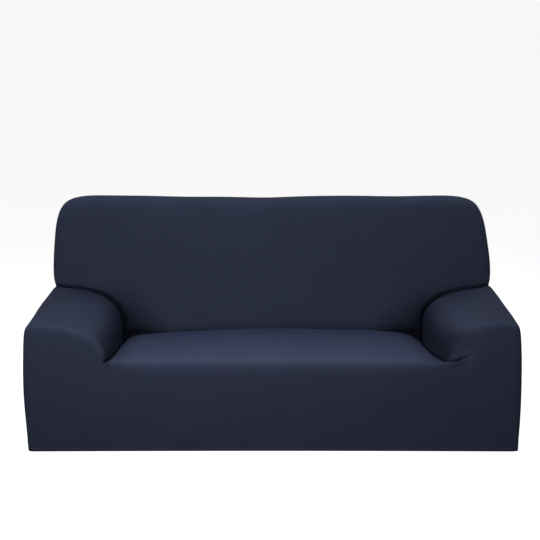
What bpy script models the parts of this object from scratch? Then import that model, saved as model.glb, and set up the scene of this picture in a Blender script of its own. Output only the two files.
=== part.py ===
"""Stretch slipcover for a two-seat sofa, as it sits on the sofa.

The cover is knitted cloth pulled tight over the sofa's form and tucked in where the seat, the arms and
the back rest meet. It is cut as five panels: the seat with the whole front, two arms, the inside back
with the top, and the outside back. Each panel is one thin solid. The sofa itself isn't part of it, so
the cover is hollow and open at the hem.

Metres, +Z up. X runs along the seat and -Y is the front. The origin is the middle of the footprint, on
the level of the hem.
"""

import math
from collections import namedtuple

import bmesh
import bpy
import numpy as np

# ---------------------------------------------------------------------------------------------------
# Driving dimensions of the covered sofa
# ---------------------------------------------------------------------------------------------------
WIDTH = 1.86
DEPTH = 0.86
HEIGHT = 0.855
CLOTH = 0.0025
SEAM_GAP = 0.0003

FRONT_Y = -DEPTH / 2
REAR_Y = DEPTH / 2

# The front hem is drawn up a little in the middle.
HEM_RISE = 0.003

# How far the cloth bends before a tuck, on the side of the seat or arm and on the side of the back.
LIP_BEFORE = 0.040
LIP_AFTER = 0.026

NAVY = (0.022, 0.030, 0.060, 1.0)

# ---------------------------------------------------------------------------------------------------
# The control net. Its points lie on or a little outside the cloth, which is a subdivision surface.
# ---------------------------------------------------------------------------------------------------
# Across: the lines of the net that run over the arms and the seat from front to back. x_hem is at the hem,
# x_front and z_front where the front turns over, x_back and z_back at the back rest, x_top at the top of
# the back rest. The x values are distances from the middle of the sofa. outward is the way the cloth
# faces, in degrees: 0 away from the seat, 90 up, 180 over the seat. roll is how softly the front turns,
# and deep how far the cloth is pushed down between this place and the back rest.
Column = namedtuple("Column", "name x_hem x_front z_front x_back z_back x_top outward roll deep")

LEFT_ARM = (
    Column("edge", 0.924, 0.910, 0.492, 0.908, 0.498, 0.878, 45, 0.032, 0.014),
    Column("top_outer", 0.880, 0.876, 0.500, 0.880, 0.503, 0.790, 90, 0.034, 0.050),
    Column("top", 0.830, 0.800, 0.499, 0.795, 0.494, 0.715, 94, 0.034, 0.085),
    Column("shoulder_high", 0.785, 0.708, 0.479, 0.702, 0.474, 0.640, 117, 0.034, 0.085),
    Column("shoulder_low", 0.745, 0.652, 0.444, 0.638, 0.428, 0.570, 146, 0.032, 0.085),
    Column("wall", 0.708, 0.642, 0.400, 0.613, 0.370, 0.505, 178, 0.030, 0.080),
    Column("lip", 0.675, 0.628, 0.368, 0.616, 0.328, 0.450, 190, 0.030, 0.070),
    Column("tuck", 0.645, 0.618, 0.352, 0.610, 0.262, 0.400, 90, 0.034, 0.035),
    Column("seat_lip", 0.612, 0.594, 0.358, 0.592, 0.316, 0.350, 90, 0.056, 0.075),
)
RIGHT_ARM = (
    Column("edge", 0.936, 0.910, 0.496, 0.908, 0.500, 0.862, 45, 0.032, 0.014),
    Column("top_outer", 0.890, 0.876, 0.507, 0.880, 0.505, 0.775, 90, 0.034, 0.050),
    Column("top", 0.843, 0.800, 0.505, 0.798, 0.492, 0.705, 94, 0.036, 0.085),
    Column("shoulder_high", 0.800, 0.718, 0.482, 0.706, 0.470, 0.635, 117, 0.044, 0.085),
    Column("shoulder_low", 0.762, 0.672, 0.442, 0.640, 0.426, 0.570, 146, 0.052, 0.085),
    Column("wall", 0.728, 0.664, 0.398, 0.620, 0.370, 0.510, 178, 0.054, 0.080),
    Column("lip", 0.696, 0.676, 0.372, 0.626, 0.328, 0.455, 190, 0.046, 0.070),
    Column("tuck", 0.663, 0.672, 0.349, 0.621, 0.262, 0.405, 90, 0.040, 0.035),
    Column("seat_lip", 0.626, 0.640, 0.354, 0.598, 0.316, 0.355, 90, 0.058, 0.075),
)
SEAT = (
    Column("seat_left", -0.450, -0.450, 0.358, -0.440, 0.318, -0.265, 90, 0.064, 0.085),
    Column("seat_mid_left", -0.225, -0.225, 0.361, -0.220, 0.330, -0.132, 90, 0.064, 0.085),
    Column("seat_middle", 0.000, 0.000, 0.362, 0.000, 0.336, 0.000, 90, 0.064, 0.085),
    Column("seat_mid_right", 0.225, 0.225, 0.361, 0.220, 0.334, 0.132, 90, 0.064, 0.085),
    Column("seat_right", 0.450, 0.450, 0.358, 0.440, 0.329, 0.265, 90, 0.064, 0.085),
)

# Up the front and the outer sides: how far along the way from the hem to the row under the edge, how much
# of the sideways way is done by then, and how far the outer sides stand from the middle of the sofa.
FrontRow = namedtuple("FrontRow", "up across left right")
FRONT_ROWS = (
    FrontRow(0.00, 0.00, 0.924, 0.936),
    FrontRow(0.36, 0.04, 0.934, 0.938),
    FrontRow(0.74, 0.25, 0.930, 0.932),
    FrontRow(1.00, 1.00, 0.922, 0.924),
)

# Where the tuck between an arm and the seat runs out on the front, as a fold.
Fold = namedtuple("Fold", "column x z depth")
LEFT_FOLD = (
    Fold("wall", 0.672, 0.394, 0.000),
    Fold("lip", 0.654, 0.366, -0.001),
    Fold("tuck", 0.640, 0.338, 0.004),
)
RIGHT_FOLD = (
    Fold("shoulder_low", 0.722, 0.428, -0.001),
    Fold("wall", 0.722, 0.408, -0.003),
    Fold("lip", 0.722, 0.390, -0.004),
    Fold("tuck", 0.724, 0.370, 0.014),
    Fold("seat_lip", 0.684, 0.318, 0.002),
)

# Along the seat and the arms' tops, from the front roll to the back tuck.
DECK_ROWS = (0.0, 0.30, 0.62, 0.86, 1.0)

# Up the back rest, from the tuck's lip to the top edge, and how far its outer sides stand out.
BackRow = namedtuple("BackRow", "share left right")
BACK_ROWS = (
    BackRow(0.00, 0.928, 0.926),
    BackRow(0.22, 0.931, 0.926),
    BackRow(0.50, 0.921, 0.909),
    BackRow(0.74, 0.908, 0.893),
    BackRow(1.00, 0.878, 0.862),
)

# Where the lines start up the back rest in its lower corners, between an arm and the seat.
CORNER_FOOT = {"lip": (0.583, 0.356), "tuck": (0.574, 0.346), "seat_lip": (0.556, 0.342)}

# The front face of the back rest: how far back it lies at each height, and how much it bulges.
BACK_LEAN = ((0.28, 0.125), (0.36, 0.150), (0.50, 0.188), (0.70, 0.222), (0.87, 0.256))
BACK_CROWN = 0.020

# Over the top of the back rest, from front to rear, and how far each row lies under the highest.
TopRow = namedtuple("TopRow", "share drop")
TOP_ROWS = (TopRow(0.0, 0.008), TopRow(0.28, 0.000), TopRow(0.72, 0.022), TopRow(1.0, 0.055))
TOP_Z = HEIGHT + 0.001
TOP_CORNER_DROP = 0.018

# Where the top sags between the places that hold it up.
Sag = namedtuple("Sag", "x depth width")
TOP_SAGS = (Sag(0.025, 0.004, 0.07), Sag(-0.120, 0.004, 0.30))


def mix(a, b, t):
    """The value that lies the share t of the way from a to b."""
    return a + (b - a) * t


def arm_columns(arm, sign):
    """One arm's lines, with x values that grow to the right. sign is -1 on the left and +1 on the right."""
    found = []
    for column in arm[::-sign]:
        signed = {f: sign * getattr(column, f) for f in ("x_hem", "x_front", "x_back", "x_top")}
        found.append((column._replace(**signed), sign))
    return found


# Every line of the net from left to right, each with the side it is on.
COLUMNS = arm_columns(LEFT_ARM, -1) + [(column, 0) for column in SEAT] + arm_columns(RIGHT_ARM, +1)
LAST = len(COLUMNS) - 1
LEFT_TUCK, RIGHT_TUCK = (i for i, (column, _) in enumerate(COLUMNS) if column.name == "tuck")

# The net lies on a stepped box. Column i counts across, row j up and row k from the front to the rear.
J_DECK = len(FRONT_ROWS)
J_TOP = J_DECK + len(BACK_ROWS)
K_BACK = len(DECK_ROWS) + 1
K_REAR = K_BACK + len(TOP_ROWS) - 1


def facing(i):
    """The way the cloth faces at column i, as (x, z)."""
    column, sign = COLUMNS[i]
    angle = math.radians(column.outward)
    return sign * math.cos(angle), math.sin(angle)


def crown(x):
    """1 in the middle of the sofa, falling to 0 at its sides."""
    return 1 - (2 * x / WIDTH) ** 2


def back_y(x, z):
    """How far back the front face of the back rest lies."""
    heights, depths = zip(*BACK_LEAN)
    return float(np.interp(z, heights, depths)) - BACK_CROWN * crown(x)


def top_z(x):
    """The height of the top of the back rest."""
    return TOP_Z - sum(sag.depth * math.exp(-(((x - sag.x) / sag.width) ** 2)) for sag in TOP_SAGS)


def side_x(row, sign):
    """How far the outer side lies to the left or right at a row of the front or of the back rest."""
    return sign * (row.left if sign < 0 else row.right)


def deck_edge(i):
    """Where the front meets the seat or the arm's top."""
    column, _ = COLUMNS[i]
    return np.array((column.x_front, FRONT_Y, column.z_front))


def row_under_edge(i):
    """The front's highest row, just under the edge."""
    column, sign = COLUMNS[i]
    for fold in LEFT_FOLD if sign < 0 else RIGHT_FOLD:
        if fold.column == column.name:
            return np.array((sign * fold.x, FRONT_Y + fold.depth, fold.z))
    if column.name == "edge":
        return np.array((column.x_front, FRONT_Y, column.z_front - column.roll))
    x, z = facing(i)
    return deck_edge(i) - column.roll * np.array((x, 0.0, z))


def front_row(i, j):
    """Up the front, from the hem."""
    column, sign = COLUMNS[i]
    if j == J_DECK:
        return deck_edge(i)
    row = FRONT_ROWS[j]
    x, y, z = row_under_edge(i)
    if column.name == "edge":
        x = side_x(row, sign)
    else:
        x = mix(column.x_hem, x, row.across)
    hem_z = HEM_RISE * crown(column.x_hem)
    return np.array((x, mix(FRONT_Y, y, row.across**2), mix(hem_z, z, row.up)))


def deck_row(i, k):
    """Over the seat or an arm's top, down to the bottom of the back tuck."""
    if k == 0:
        return deck_edge(i)
    column, _ = COLUMNS[i]
    rear_y = back_y(column.x_back, column.z_back)
    if k < K_BACK:
        y = mix(FRONT_Y + column.roll, rear_y - LIP_BEFORE, DECK_ROWS[k - 1])
        t = (y - FRONT_Y) / (rear_y - FRONT_Y)
        x = mix(column.x_front, column.x_back, 1 - (1 - t) ** 3)
        return np.array((x, y, mix(column.z_front, column.z_back, t)))
    x, z = facing(i)
    return np.array((column.x_back - column.deep * x, rear_y, column.z_back - column.deep * z))


def foot(i):
    """Where column i starts up the back rest, as (x, z)."""
    column, sign = COLUMNS[i]
    if column.name in CORNER_FOOT:
        x, z = CORNER_FOOT[column.name]
        return sign * x, z
    x, z = facing(i)
    return column.x_back + LIP_AFTER * x, column.z_back + LIP_AFTER * z


def back_row(i, j):
    """Up the front face of the back rest."""
    column, sign = COLUMNS[i]
    row = BACK_ROWS[j - J_DECK - 1]
    foot_x, foot_z = foot(i)
    x = mix(foot_x, column.x_top, row.share)
    head_z = top_z(column.x_top) - TOP_ROWS[0].drop
    if column.name == "edge":
        x = side_x(row, sign)
        head_z -= TOP_CORNER_DROP
    z = mix(foot_z, head_z, row.share)
    return np.array((x, back_y(x, z), z))


def top_row(i, k):
    """Over the top of the back rest."""
    front = back_row(i, J_TOP)
    row = TOP_ROWS[k - K_BACK]
    return np.array((front[0], mix(front[1], REAR_Y, row.share), front[2] + TOP_ROWS[0].drop - row.drop))


def side_row(i, j, k):
    """The outer side: under the arm's top it runs the whole depth, above it only beside the back rest."""
    if j > J_DECK:
        front = back_row(i, j)
        return np.array((front[0], mix(front[1], REAR_Y, TOP_ROWS[k - K_BACK].share), front[2]))
    front = front_row(i, j)
    junction = deck_row(i, K_BACK)
    if k <= K_BACK:
        y = deck_row(i, k)[1]
    else:
        y = mix(junction[1], REAR_Y, TOP_ROWS[k - K_BACK].share)
    if j == J_DECK:
        return np.array((mix(junction[0], back_row(i, J_DECK + 1)[0], 0.5), y, junction[2]))
    return np.array((front[0], y, front[2]))


def rear_row(i, j):
    """Up the rear, from the hem. Its rows are level with those of the outer side."""
    top = top_row(i, K_REAR)
    if j == J_TOP:
        return top
    if i in (0, LAST):
        return side_row(i, j, K_REAR)
    share = BACK_ROWS[j - J_DECK - 1].share if j > J_DECK else 0.0
    z = side_row(0, j, K_REAR)[2] + (top[2] - top_row(0, K_REAR)[2]) * share
    return np.array((mix(COLUMNS[i][0].x_hem, top[0], z / top[2]), REAR_Y, z))


def net_point(i, j, k):
    """The net's point at column i and rows j and k."""
    if k == K_REAR:
        return rear_row(i, j)
    if k == 0:
        return front_row(i, j)
    if j == J_DECK and k <= K_BACK:
        return deck_row(i, k)
    if k == K_BACK and j > J_DECK:
        return back_row(i, j)
    if j == J_TOP:
        return top_row(i, k)
    return side_row(i, j, k)


# ---------------------------------------------------------------------------------------------------
# The panels, as cells of the stepped box
# ---------------------------------------------------------------------------------------------------
PANELS = ("seat_and_front", "arm_left", "arm_right", "inside_back", "outside_back")


def deck_panel(i):
    """The panel on top between columns i and i + 1."""
    if i < LEFT_TUCK:
        return "arm_left"
    return "arm_right" if i >= RIGHT_TUCK else "seat_and_front"


def upright(i, j, k):
    """A cell that faces the front or the rear, by its lower left corner seen from the front."""
    return (i, j, k), (i + 1, j, k), (i + 1, j + 1, k), (i, j + 1, k)


def level(i, j, k):
    """A cell that faces up, by its front left corner."""
    return (i, j, k), (i + 1, j, k), (i + 1, j, k + 1), (i, j, k + 1)


def sideways(i, j, k):
    """A cell that faces right, by its lower front corner."""
    return (i, j, k), (i, j, k + 1), (i, j + 1, k + 1), (i, j + 1, k)


def cells():
    """Each cell of the net as its panel and its four corners, counter-clockwise seen from outside."""
    for i in range(LAST):
        for j in range(J_DECK):
            yield "seat_and_front", upright(i, j, 0)
        for k in range(K_BACK):
            yield deck_panel(i), level(i, J_DECK, k)
        for j in range(J_DECK, J_TOP):
            yield "inside_back", upright(i, j, K_BACK)
        for k in range(K_BACK, K_REAR):
            yield "inside_back", level(i, J_TOP, k)
        for j in range(J_TOP):
            yield "outside_back", upright(i, j, K_REAR)[::-1]
    for j in range(J_TOP):
        for k in range(0 if j < J_DECK else K_BACK, K_REAR):
            low = j < J_DECK
            yield "arm_left" if low else "inside_back", sideways(0, j, k)[::-1]
            yield "arm_right" if low else "inside_back", sideways(LAST, j, k)


def control_net():
    """The whole cover as one coarse mesh. A face's material number is its panel."""
    mesh = bpy.data.meshes.new("control_net")
    bm = bmesh.new()
    made = {}
    for panel, corners in cells():
        for corner in corners:
            if corner not in made:
                made[corner] = bm.verts.new(net_point(*corner))
        face = bm.faces.new([made[corner] for corner in corners])
        face.material_index = PANELS.index(panel)
        face.smooth = True
    bm.to_mesh(mesh)
    bm.free()
    net = bpy.data.objects.new("control_net", mesh)
    bpy.context.scene.collection.objects.link(net)
    smooth = net.modifiers.new("smooth", "SUBSURF")
    smooth.levels = 1
    smooth.render_levels = 1
    return net


def rim_of(quads):
    """The edges that only one quad has, each in the direction of that quad."""
    edges = {(int(a), int(b)) for quad in quads for a, b in zip(quad, np.roll(quad, -1))}
    return sorted((a, b) for a, b in edges if (b, a) not in edges)


def stretched_cloth(net):
    """The cloth's outer face: points, quads, each quad's panel, outward directions, and the hem's points."""
    graph = bpy.context.evaluated_depsgraph_get()
    shape = net.evaluated_get(graph).to_mesh()
    points = np.array([vertex.co for vertex in shape.vertices])
    quads = np.array([face.vertices[:] for face in shape.polygons])
    panel = np.array([face.material_index for face in shape.polygons])
    low, high = points.min(axis=0), points.max(axis=0)
    points -= ((low[0] + high[0]) / 2, (low[1] + high[1]) / 2, low[2])
    corners = points[quads]
    facing_out = np.cross(corners[:, 2] - corners[:, 0], corners[:, 3] - corners[:, 1])
    outward = np.zeros_like(points)
    for corner in range(4):
        np.add.at(outward, quads[:, corner], facing_out)
    hem = {point for edge in rim_of(quads) for point in edge}
    outward[list(hem), 2] = 0.0
    outward /= np.linalg.norm(outward, axis=1)[:, None]
    return points, quads, panel, outward, hem


def seam_shift(points, outward, rim, hem):
    """How each point on a panel's seams moves into the panel, to leave half the seam's gap."""
    inward = {}
    for a, b in rim:
        if a in hem and b in hem:
            continue
        way = np.cross(outward[a] + outward[b], points[b] - points[a])
        way /= np.linalg.norm(way)
        inward.setdefault(a, []).append(way)
        inward.setdefault(b, []).append(way)
    shift = {}
    for point, ways in inward.items():
        mean = np.sum(ways, axis=0)
        mean /= np.linalg.norm(mean)
        shift[point] = mean * (SEAM_GAP / 2) / max(0.5, float(mean @ ways[0]))
        if point in hem:
            shift[point][2] = 0.0
    return shift


def knit(name):
    """Matt navy stretch knit."""
    material = bpy.data.materials.new(name + "_knit")
    material.use_nodes = True
    shader = material.node_tree.nodes["Principled BSDF"]
    shader.inputs["Base Color"].default_value = NAVY
    shader.inputs["Roughness"].default_value = 0.85
    shader.inputs["Metallic"].default_value = 0.0
    return material


def sew_panel(name, points, quads, outward, hem):
    """One panel as a thin closed solid: the cloth's outer face, its inner face and the rim between."""
    rim = rim_of(quads)
    shift = seam_shift(points, outward, rim, hem)
    bm = bmesh.new()
    outer, inner = {}, {}
    for point in np.unique(quads):
        place = points[point] + shift.get(point, 0.0)
        outer[point] = bm.verts.new(place)
        inner[point] = bm.verts.new(place - CLOTH * outward[point])
    for quad in quads:
        bm.faces.new([outer[point] for point in quad])
        bm.faces.new([inner[point] for point in quad[::-1]])
    for a, b in rim:
        # Both panels at a seam split the rim between the same two corners, so their twisted rims match.
        first, last = (outer[a], inner[b]) if a < b else (outer[b], inner[a])
        bm.faces.new((outer[b], outer[a], last))
        bm.faces.new((first, inner[a], inner[b]))
    mesh = bpy.data.meshes.new(name)
    bm.to_mesh(mesh)
    bm.free()
    mesh.shade_smooth()
    mesh.materials.append(knit(name))
    bpy.context.scene.collection.objects.link(bpy.data.objects.new(name, mesh))


def main():
    for old in list(bpy.data.objects):
        bpy.data.objects.remove(old)
    net = control_net()
    points, quads, panel, outward, hem = stretched_cloth(net)
    bpy.data.objects.remove(net)
    for number, name in enumerate(PANELS):
        sew_panel(name, points, quads[panel == number], outward, hem)


main()
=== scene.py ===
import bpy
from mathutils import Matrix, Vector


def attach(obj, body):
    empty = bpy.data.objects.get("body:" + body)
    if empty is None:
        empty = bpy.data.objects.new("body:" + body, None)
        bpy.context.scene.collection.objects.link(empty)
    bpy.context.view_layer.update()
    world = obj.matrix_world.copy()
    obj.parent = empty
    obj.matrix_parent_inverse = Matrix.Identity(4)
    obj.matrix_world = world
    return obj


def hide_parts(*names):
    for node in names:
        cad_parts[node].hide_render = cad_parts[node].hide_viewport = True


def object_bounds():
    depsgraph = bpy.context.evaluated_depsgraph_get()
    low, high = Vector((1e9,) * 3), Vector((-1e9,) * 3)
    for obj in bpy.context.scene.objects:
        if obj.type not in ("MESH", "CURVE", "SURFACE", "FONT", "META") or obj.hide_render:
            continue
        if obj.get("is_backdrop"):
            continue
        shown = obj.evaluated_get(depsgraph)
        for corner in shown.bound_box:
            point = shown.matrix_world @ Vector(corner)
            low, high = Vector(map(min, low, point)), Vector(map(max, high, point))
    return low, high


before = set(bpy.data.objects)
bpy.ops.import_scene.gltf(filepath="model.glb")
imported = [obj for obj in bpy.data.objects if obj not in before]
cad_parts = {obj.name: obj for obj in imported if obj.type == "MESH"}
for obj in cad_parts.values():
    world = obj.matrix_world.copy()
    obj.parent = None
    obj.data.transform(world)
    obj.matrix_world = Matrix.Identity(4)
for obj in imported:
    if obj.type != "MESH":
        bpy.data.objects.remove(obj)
cad_low, cad_high = (corner[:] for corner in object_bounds())

# Looks of a stretch slipcover on a two-seat sofa. It is five panels of navy knit, sewn together, pulled
# tight over the sofa and tucked in where the seat, the arms and the back rest meet. The sofa is left out.
# Metres, +Z up. X runs along the seat and -Y is the front.

import math
from collections import namedtuple

import bmesh
import bpy
import numpy as np
from mathutils import Vector
from mathutils.kdtree import KDTree

# ---------------------------------------------------------------------------------------------------
# The form that all five panels are stretched over
# The cloth has no shape of its own: it takes the sofa's, and spans the hollows. Its face is a smoothed
# net, whose lines run over the arms and the seat from front to back, and up the front and the back rest.
# ---------------------------------------------------------------------------------------------------
WIDTH = 1.86
DEPTH = 0.86
HEIGHT = 0.856
FRONT_Y = -DEPTH / 2
REAR_Y = DEPTH / 2
# The hem stands a little higher in the middle of the sofa, and this much of it is turned up.
HEM_RISE = 0.003
HEM_TURN = 0.020
# How close the net's rows lie before and after the place where the back tuck opens.
LIP_BEFORE = 0.006
LIP_AFTER = 0.005

# x_hem is at the hem, x_front and z_front where the front turns over, x_back and z_back at the back rest,
# x_top at the top of the back rest. The x values are distances from the middle of the sofa. outward is the
# way the cloth faces, in degrees: 0 away from the seat, 90 up, 180 over the seat. roll is how softly the
# front turns, and deep how far the cloth is pushed down between this place and the back rest.
Column = namedtuple("Column", "name x_hem x_front z_front x_back z_back x_top outward roll deep")
LEFT_ARM = (
    Column("edge", 0.924, 0.910, 0.492, 0.910, 0.492, 0.878, 45, 0.032, 0.010),
    Column("top_outer", 0.880, 0.876, 0.500, 0.880, 0.487, 0.790, 90, 0.034, 0.050),
    Column("top", 0.830, 0.800, 0.499, 0.795, 0.478, 0.715, 94, 0.044, 0.085),
    Column("shoulder_high", 0.785, 0.708, 0.479, 0.702, 0.458, 0.640, 117, 0.056, 0.085),
    Column("shoulder_low", 0.745, 0.648, 0.450, 0.638, 0.412, 0.570, 146, 0.060, 0.085),
    Column("wall", 0.708, 0.620, 0.412, 0.613, 0.354, 0.505, 178, 0.062, 0.080),
    Column("lip", 0.675, 0.609, 0.380, 0.616, 0.312, 0.450, 190, 0.042, 0.070),
    Column("tuck", 0.645, 0.618, 0.350, 0.610, 0.262, 0.400, 90, 0.034, 0.035),
    Column("seat_lip", 0.612, 0.594, 0.364, 0.592, 0.306, 0.350, 90, 0.078, 0.075),
)
RIGHT_ARM = (
    Column("edge", 0.936, 0.914, 0.496, 0.922, 0.498, 0.864, 45, 0.032, 0.010),
    Column("top_outer", 0.890, 0.878, 0.507, 0.888, 0.489, 0.775, 90, 0.034, 0.050),
    Column("top", 0.843, 0.800, 0.505, 0.798, 0.476, 0.705, 94, 0.044, 0.085),
    Column("shoulder_high", 0.800, 0.718, 0.482, 0.706, 0.454, 0.635, 117, 0.062, 0.085),
    Column("shoulder_low", 0.762, 0.672, 0.442, 0.640, 0.410, 0.570, 146, 0.076, 0.085),
    Column("wall", 0.728, 0.664, 0.398, 0.620, 0.354, 0.510, 178, 0.076, 0.080),
    Column("lip", 0.696, 0.668, 0.370, 0.626, 0.312, 0.455, 190, 0.064, 0.070),
    Column("tuck", 0.663, 0.662, 0.340, 0.621, 0.262, 0.405, 90, 0.048, 0.035),
    Column("seat_lip", 0.626, 0.636, 0.356, 0.598, 0.306, 0.355, 90, 0.078, 0.075),
)
SEAT = (
    Column("seat_left", -0.450, -0.450, 0.364, -0.440, 0.308, -0.265, 90, 0.105, 0.085),
    Column("seat_mid_left", -0.225, -0.225, 0.367, -0.220, 0.320, -0.132, 90, 0.105, 0.085),
    Column("seat_middle", 0.000, 0.000, 0.368, 0.000, 0.326, 0.000, 90, 0.105, 0.085),
    Column("seat_mid_right", 0.225, 0.225, 0.367, 0.220, 0.324, 0.132, 90, 0.105, 0.085),
    Column("seat_right", 0.450, 0.450, 0.364, 0.440, 0.319, 0.265, 90, 0.105, 0.085),
)

# Up the front and the outer sides: up is the share of the height, across how far the row has moved from the
# hem's x to that of the edge, and left and right are the sides' distances from the middle. The second row is
# the top of the turned hem.
FrontRow = namedtuple("FrontRow", "up across left right")
FRONT_ROWS = (
    FrontRow(0.00, 0.00, 0.9240, 0.9360),
    FrontRow(None, 0.00, 0.9252, 0.9363),
    FrontRow(0.36, 0.04, 0.9340, 0.9380),
    FrontRow(0.74, 0.25, 0.9300, 0.9320),
    FrontRow(1.00, 1.00, 0.9220, 0.9240),
)

# Where the tuck between an arm and the seat runs out on the front, as a fold.
Fold = namedtuple("Fold", "column x z depth")
LEFT_FOLD = (
    Fold("wall", 0.674, 0.402, 0.000),
    Fold("lip", 0.662, 0.390, -0.002),
    Fold("tuck", 0.652, 0.376, 0.005),
    Fold("seat_lip", 0.622, 0.330, 0.000),
)
RIGHT_FOLD = (
    Fold("shoulder_high", 0.800, 0.450, 0.000),
    Fold("shoulder_low", 0.792, 0.438, 0.000),
    Fold("wall", 0.786, 0.426, -0.001),
    Fold("lip", 0.779, 0.412, -0.002),
    Fold("tuck", 0.770, 0.395, 0.006),
    Fold("seat_lip", 0.716, 0.344, 0.001),
)

# How far the front end of the right arm is rounded off towards the seat.
ROUND_END = {
    "top": 0.004, "shoulder_high": 0.012, "shoulder_low": 0.026, "wall": 0.034, "lip": 0.030, "tuck": 0.016,
}

# Over the seat and the arms, as shares of the way from the front's roll to the back tuck.
DECK_ROWS = (0.0, 0.28, 0.60, 0.87, 0.965, 1.0)

# Up the back rest, as shares of its height, with the distances of its sides from the middle.
BackRow = namedtuple("BackRow", "share left right")
BACK_ROWS = (
    BackRow(0.00, 0.920, 0.926),
    BackRow(0.22, 0.924, 0.926),
    BackRow(0.50, 0.917, 0.909),
    BackRow(0.76, 0.910, 0.898),
    BackRow(1.00, 0.879, 0.864),
)
# Beside the arms' lower walls the back rest starts from these places, as (x, z).
CORNER_FOOT = {"lip": (0.583, 0.356), "tuck": (0.574, 0.346), "seat_lip": (0.556, 0.342)}
# The back rest's front face, as pairs of height and distance back. In the middle it bulges forward.
BACK_LEAN = ((0.28, 0.125), (0.36, 0.150), (0.50, 0.188), (0.70, 0.222), (0.87, 0.256))
BACK_CROWN = 0.020

# Over the top of the back rest, from its front to the rear, with the drop below its highest line.
TopRow = namedtuple("TopRow", "share drop")
TOP_ROWS = (TopRow(0.0, 0.008), TopRow(0.28, 0.000), TopRow(0.72, 0.022), TopRow(1.0, 0.055))
TOP_CORNER_DROP = 0.017
# Where the top edge sags in the middle: a short dip in a long one.
Sag = namedtuple("Sag", "x depth width")
TOP_SAGS = (Sag(0.025, 0.004, 0.07), Sag(-0.120, 0.004, 0.30))

PANELS = ("seat_and_front", "arm_left", "arm_right", "inside_back", "outside_back")


def mix(a, b, t):
    """The value that lies the share t of the way from a to b."""
    return a + (b - a) * t


def arm_columns(arm, sign):
    """One arm's lines, with x values that grow to the right. sign is -1 on the left and +1 on the right."""
    found = []
    for column in arm[::-sign]:
        signed = {f: sign * getattr(column, f) for f in ("x_hem", "x_front", "x_back", "x_top")}
        found.append((column._replace(**signed), sign))
    return found


COLUMNS = arm_columns(LEFT_ARM, -1) + [(column, 0) for column in SEAT] + arm_columns(RIGHT_ARM, +1)
LAST = len(COLUMNS) - 1
LEFT_TUCK, RIGHT_TUCK = (i for i, (column, _) in enumerate(COLUMNS) if column.name == "tuck")

# The net lies on a stepped box. Column i counts across, row j up and row k from the front to the rear.
J_DECK = len(FRONT_ROWS)
J_TOP = J_DECK + len(BACK_ROWS)
K_BACK = len(DECK_ROWS) + 1
K_REAR = K_BACK + len(TOP_ROWS) - 1


def facing(i):
    """The way the cloth faces at column i, as (x, z)."""
    column, sign = COLUMNS[i]
    angle = math.radians(column.outward)
    return sign * math.cos(angle), math.sin(angle)


def crown(x):
    """1 in the middle of the sofa, falling to 0 at its sides."""
    return 1 - (2 * x / WIDTH) ** 2


def back_y(x, z):
    """How far back the front face of the back rest lies."""
    heights, depths = zip(*BACK_LEAN)
    return np.interp(z, heights, depths) - BACK_CROWN * crown(x)


def top_z(x):
    """The height of the top of the back rest."""
    return HEIGHT - sum(sag.depth * math.exp(-(((x - sag.x) / sag.width) ** 2)) for sag in TOP_SAGS)


def side_x(row, sign):
    """How far the outer side lies to the left or right at a row of the front or of the back rest."""
    return sign * (row.left if sign < 0 else row.right)


def deck_edge(i):
    """Where the front meets the seat or the arm's top."""
    column, sign = COLUMNS[i]
    rounded = ROUND_END.get(column.name, 0.0) if sign > 0 else 0.0
    return np.array((column.x_front, FRONT_Y + rounded, column.z_front))


def row_under_edge(i):
    """The front's highest row, just under the edge."""
    column, sign = COLUMNS[i]
    for fold in LEFT_FOLD if sign < 0 else RIGHT_FOLD:
        if fold.column == column.name:
            return np.array((sign * fold.x, FRONT_Y + fold.depth, fold.z))
    if column.name == "edge":
        return np.array((column.x_front, FRONT_Y, column.z_front - column.roll))
    x, z = facing(i)
    return deck_edge(i) - column.roll * np.array((x, 0.0, z))


def front_row(i, j):
    """Up the front, from the hem."""
    column, sign = COLUMNS[i]
    if j == J_DECK:
        return deck_edge(i)
    row = FRONT_ROWS[j]
    x, y, z = row_under_edge(i)
    x = side_x(row, sign) if column.name == "edge" else mix(column.x_hem, x, row.across)
    hem_z = HEM_RISE * crown(column.x_hem)
    height = hem_z + HEM_TURN if row.up is None else mix(hem_z, z, row.up)
    return np.array((x, mix(FRONT_Y, y, row.across**2), height))


def deck_row(i, k):
    """Over the seat or an arm's top, down to the bottom of the back tuck."""
    if k == 0:
        return deck_edge(i)
    column, _ = COLUMNS[i]
    rear_y = back_y(column.x_back, column.z_back)
    if k < K_BACK:
        y = mix(FRONT_Y + column.roll, rear_y - LIP_BEFORE, DECK_ROWS[k - 1])
        t = (y - FRONT_Y) / (rear_y - FRONT_Y)
        # An arm's top takes its rear width soon behind its front end.
        x = mix(column.x_front, column.x_back, 1 - (1 - t) ** 3)
        return np.array((x, y, mix(column.z_front, column.z_back, t)))
    x, z = facing(i)
    return np.array((column.x_back - column.deep * x, rear_y, column.z_back - column.deep * z))


def foot(i):
    """Where column i starts up the back rest, as (x, z)."""
    column, sign = COLUMNS[i]
    if column.name in CORNER_FOOT:
        x, z = CORNER_FOOT[column.name]
        return sign * x, z
    x, z = facing(i)
    return column.x_back + LIP_AFTER * x, column.z_back + LIP_AFTER * z


def back_row(i, j):
    """Up the front face of the back rest."""
    column, sign = COLUMNS[i]
    row = BACK_ROWS[j - J_DECK - 1]
    foot_x, foot_z = foot(i)
    x = mix(foot_x, column.x_top, row.share)
    head_z = top_z(column.x_top) - TOP_ROWS[0].drop
    if column.name == "edge":
        x = side_x(row, sign)
        head_z -= TOP_CORNER_DROP
    z = mix(foot_z, head_z, row.share)
    return np.array((x, back_y(x, z), z))


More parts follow.
